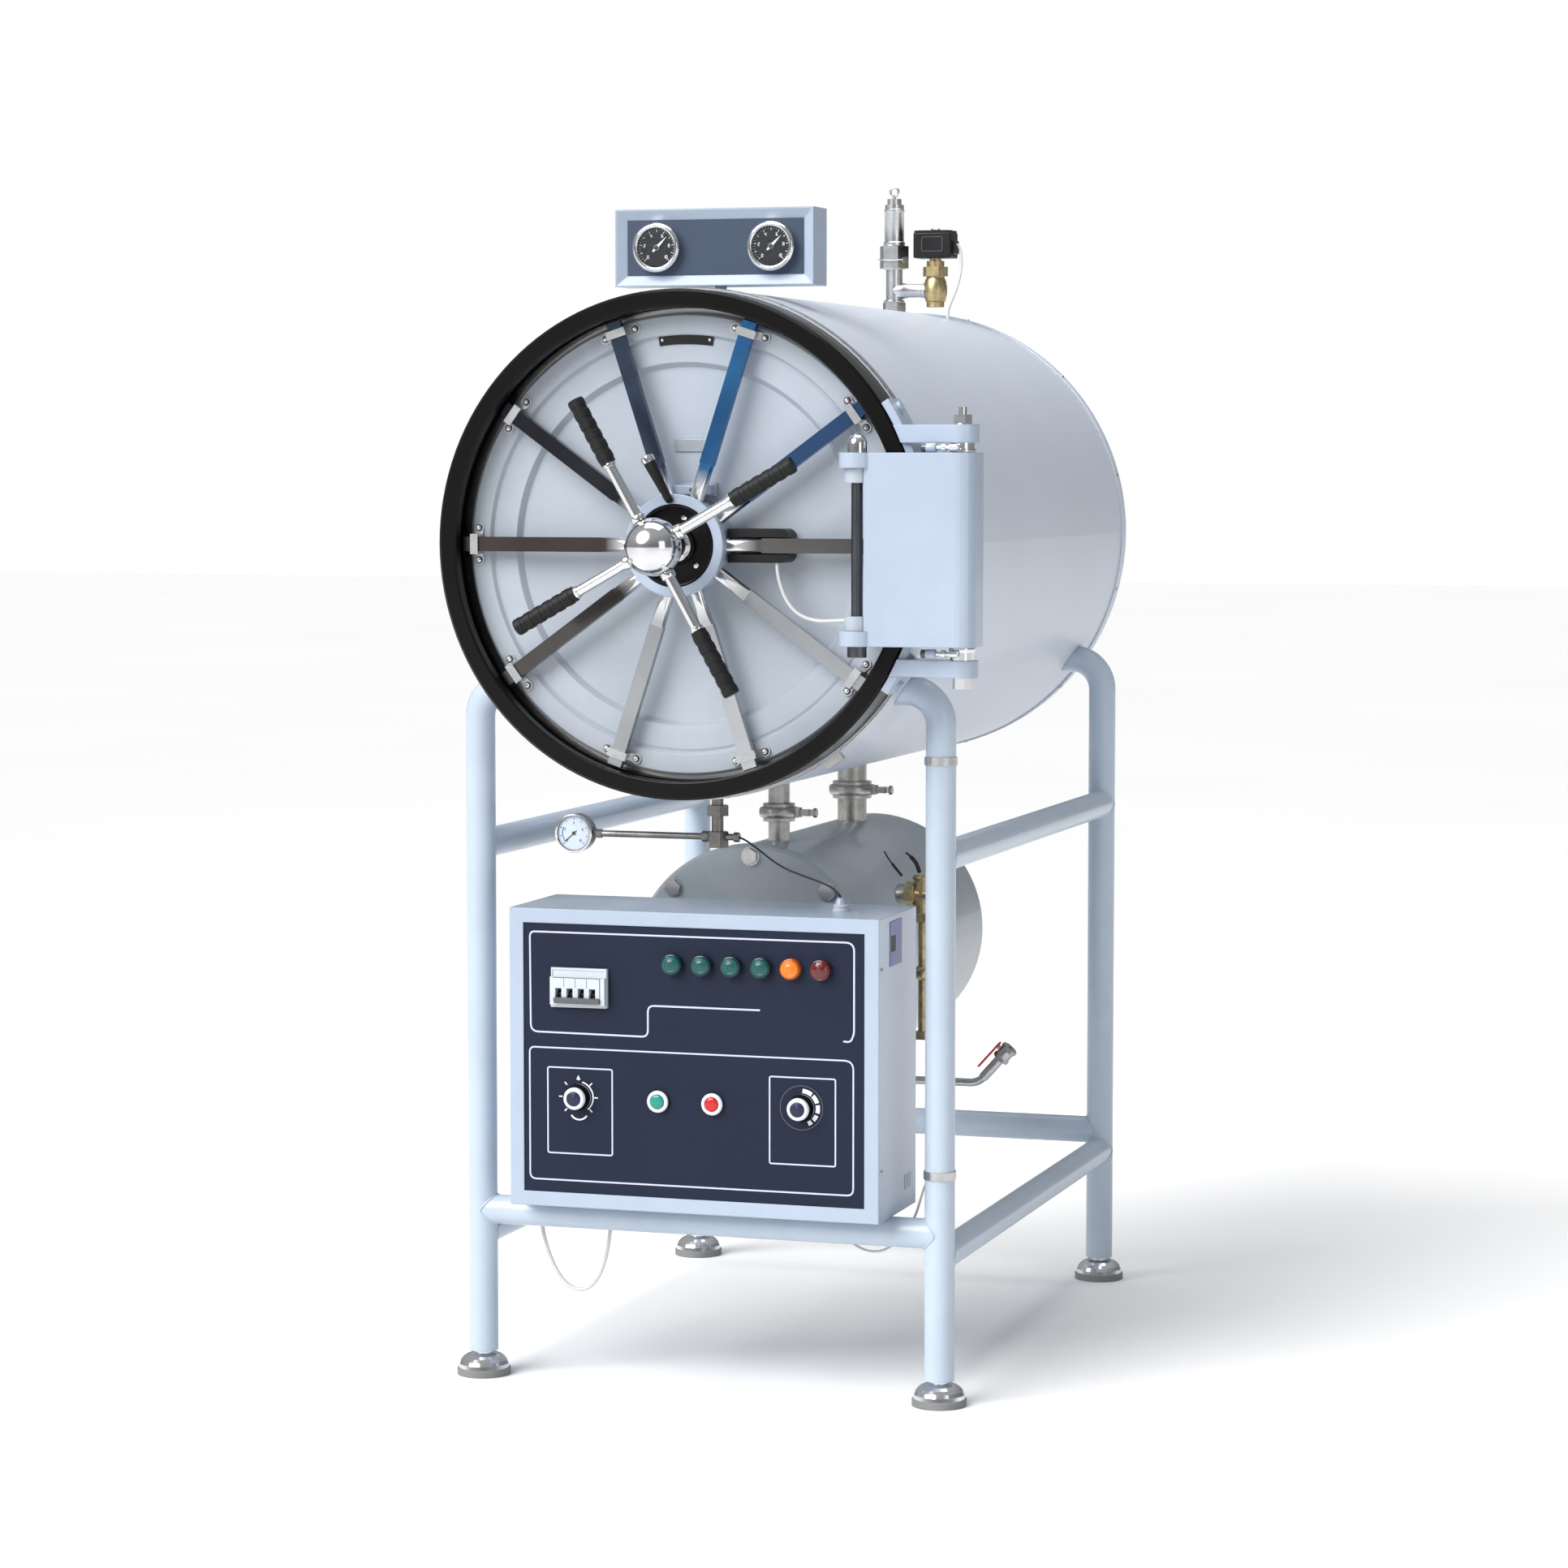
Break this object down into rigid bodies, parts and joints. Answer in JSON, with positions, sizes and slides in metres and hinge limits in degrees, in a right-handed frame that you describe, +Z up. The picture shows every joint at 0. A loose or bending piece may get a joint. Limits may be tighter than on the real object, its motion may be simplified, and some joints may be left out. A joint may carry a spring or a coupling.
{
  "type": "horizontal autoclave",
  "caption": "Horizontal cylindrical steam steriliser on a tube frame, with a radial-bar door on a swing arm, handwheel, steam generator, control cabinet and gauge box",
  "frame": {"origin": "on the floor, midway between the four legs", "axes": "X to the right as seen from the door, Y from the door to the back, Z up"},
  "size_m": [0.8681, 1.418, 1.867],
  "materials": {
    "frame_paint": "gloss paint",
    "white_paint": "gloss paint",
    "drum_paint": "satin paint",
    "grey_paint": "gloss paint",
    "black_paint": "gloss paint",
    "panel_paint": "satin paint",
    "polished": "polished",
    "steel": "brushed",
    "dark_steel": "brushed",
    "brass": "cast",
    "rubber_grey": "moulded",
    "rubber_black": "moulded",
    "silicone": "moulded",
    "black_plastic": "moulded",
    "white_plastic": "moulded",
    "green_plastic": "moulded",
    "red_plastic": "moulded",
    "knob_plastic": "moulded",
    "cable_white": "extruded",
    "cable_black": "extruded"
  },
  "bodies": {
    "stand": {"frame_legs": "frame_paint", "frame_rails": "frame_paint", "foot_bells": "polished", "foot_pads": "rubber_grey", "strap_bands": "steel", "drum_casing": "drum_paint", "rear_cover": "drum_paint", "mouth_ring": "black_paint", "pressure_vessel": "steel", "door_gasket": "silicone", "hinge_brackets": "white_paint", "outer_hinge_pin": "polished", "steam_generator": "grey_paint", "heater_flange": "grey_paint", "steam_pipes": "steel", "drain_pipe": "steel", "safety_valve": "steel", "exhaust_valve": "brass", "exhaust_coil": "black_plastic", "water_valve": "brass", "jacket_gauge": "polished", "gauge_box": "white_paint", "face_panels": "panel_paint", "dial_gauges": "polished", "control_cabinet": "white_paint", "indicator_lamps": "green_plastic", "breaker": "white_plastic", "button_bezels": "polished", "gauge_capillary": "cable_black", "cabinet_cables": "cable_white", "coil_cable": "cable_white"},
    "swing_arm": {"hinge_arm": "white_paint", "inner_hinge_pin": "dark_steel"},
    "door": {"door_plate": "white_paint", "hub_collar": "white_paint", "bar_guides": "polished", "interlock_switch": "black_plastic", "interlock_cable": "cable_white"},
    "wheel": {"handwheel": "polished", "hub_cup": "black_paint", "handle_grips": "rubber_black"},
    "drain_handle": {"drain_lever": "red_plastic"},
    "lift_ring": {"pull_ring": "steel"},
    "left_needle": {"left_pointer": "white_plastic"},
    "right_needle": {"right_pointer": "white_plastic"},
    "toggle": {"breaker_toggle": "black_plastic"},
    "timer": {"timer_knob": "knob_plastic"},
    "thermostat": {"thermostat_knob": "knob_plastic"},
    "start": {"start_button": "green_plastic"},
    "stop": {"stop_button": "red_plastic"},
    "bar_1": {"lock_bar_1": "dark_steel"},
    "bar_2": {"lock_bar_2": "dark_steel"},
    "bar_3": {"lock_bar_3": "dark_steel"},
    "bar_4": {"lock_bar_4": "dark_steel"},
    "bar_5": {"lock_bar_5": "dark_steel"},
    "bar_6": {"lock_bar_6": "dark_steel"},
    "bar_7": {"lock_bar_7": "dark_steel"},
    "bar_8": {"lock_bar_8": "dark_steel"},
    "bar_9": {"lock_bar_9": "dark_steel"},
    "bar_10": {"lock_bar_10": "dark_steel"}
  },
  "joints": [
    {"name": "arm_swing", "type": "hinge", "parent": "stand", "child": "swing_arm", "pos_m": [0.4335, -0.655, 1.275], "axis": [0, 0, 1], "range_deg": [0, 110]},
    {"name": "door_align", "type": "hinge", "parent": "swing_arm", "child": "door", "pos_m": [0.289, -0.697, 1.275], "axis": [0, 0, 1], "range_deg": [0, 1.5]},
    {"name": "wheel_turn", "type": "hinge", "parent": "door", "child": "wheel", "pos_m": [0, -0.753, 1.278], "axis": [0, 1, 0], "range_deg": [0, 45]},
    {"name": "bar_1_slide", "type": "slide", "parent": "door", "child": "bar_1", "axis": [1, 0, 0], "range_m": [0, 0.014]},
    {"name": "bar_2_slide", "type": "slide", "parent": "door", "child": "bar_2", "axis": [0.809, 0, 0.5878], "range_m": [0, 0.014]},
    {"name": "bar_3_slide", "type": "slide", "parent": "door", "child": "bar_3", "axis": [0.309, 0, 0.9511], "range_m": [0, 0.014]},
    {"name": "bar_4_slide", "type": "slide", "parent": "door", "child": "bar_4", "axis": [-0.309, 0, 0.9511], "range_m": [0, 0.014]},
    {"name": "bar_5_slide", "type": "slide", "parent": "door", "child": "bar_5", "axis": [-0.809, 0, 0.5878], "range_m": [0, 0.014]},
    {"name": "bar_6_slide", "type": "slide", "parent": "door", "child": "bar_6", "axis": [-1, 0, 0], "range_m": [0, 0.014]},
    {"name": "bar_7_slide", "type": "slide", "parent": "door", "child": "bar_7", "axis": [-0.809, 0, -0.5878], "range_m": [0, 0.014]},
    {"name": "bar_8_slide", "type": "slide", "parent": "door", "child": "bar_8", "axis": [-0.309, 0, -0.9511], "range_m": [0, 0.014]},
    {"name": "bar_9_slide", "type": "slide", "parent": "door", "child": "bar_9", "axis": [0.309, 0, -0.9511], "range_m": [0, 0.014]},
    {"name": "bar_10_slide", "type": "slide", "parent": "door", "child": "bar_10", "axis": [0.809, 0, -0.5878], "range_m": [0, 0.014]},
    {"name": "drain_turn", "type": "hinge", "parent": "stand", "child": "drain_handle", "pos_m": [0.32087, -0.013, 0.46902], "axis": [-0.7431, 0, 0.6691], "range_deg": [0, 90]},
    {"name": "ring_lift", "type": "slide", "parent": "stand", "child": "lift_ring", "axis": [0, 0, 1], "range_m": [0, 0.003], "stiffness_N_per_m": 3000},
    {"name": "left_needle_turn", "type": "hinge", "parent": "stand", "child": "left_needle", "pos_m": [-0.09, -0.478, 1.7195], "axis": [0, 1, 0], "range_deg": [-180, 90]},
    {"name": "right_needle_turn", "type": "hinge", "parent": "stand", "child": "right_needle", "pos_m": [0.09, -0.478, 1.7195], "axis": [0, 1, 0], "range_deg": [-180, 90]},
    {"name": "toggle_throw", "type": "hinge", "parent": "stand", "child": "toggle", "pos_m": [-0.18, -0.583, 0.6018], "axis": [-1, 0, 0], "range_deg": [0, 44]},
    {"name": "timer_turn", "type": "hinge", "parent": "stand", "child": "timer", "pos_m": [-0.181, -0.583, 0.4472], "axis": [0, 1, 0], "range_deg": [0, 300]},
    {"name": "thermostat_turn", "type": "hinge", "parent": "stand", "child": "thermostat", "pos_m": [0.1704, -0.583, 0.4472], "axis": [0, 1, 0], "range_deg": [0, 300]},
    {"name": "start_press", "type": "slide", "parent": "stand", "child": "start", "axis": [0, 1, 0], "range_m": [0, 0.003], "stiffness_N_per_m": 800},
    {"name": "stop_press", "type": "slide", "parent": "stand", "child": "stop", "axis": [0, 1, 0], "range_m": [0, 0.003], "stiffness_N_per_m": 800}
  ],
  "couplings": [
    {"joint": "bar_1_slide", "follows": "wheel_turn", "m_per_rad": 0.017825},
    {"joint": "bar_2_slide", "follows": "wheel_turn", "m_per_rad": 0.017825},
    {"joint": "bar_3_slide", "follows": "wheel_turn", "m_per_rad": 0.017825},
    {"joint": "bar_4_slide", "follows": "wheel_turn", "m_per_rad": 0.017825},
    {"joint": "bar_5_slide", "follows": "wheel_turn", "m_per_rad": 0.017825},
    {"joint": "bar_6_slide", "follows": "wheel_turn", "m_per_rad": 0.017825},
    {"joint": "bar_7_slide", "follows": "wheel_turn", "m_per_rad": 0.017825},
    {"joint": "bar_8_slide", "follows": "wheel_turn", "m_per_rad": 0.017825},
    {"joint": "bar_9_slide", "follows": "wheel_turn", "m_per_rad": 0.017825},
    {"joint": "bar_10_slide", "follows": "wheel_turn", "m_per_rad": 0.017825}
  ]
}
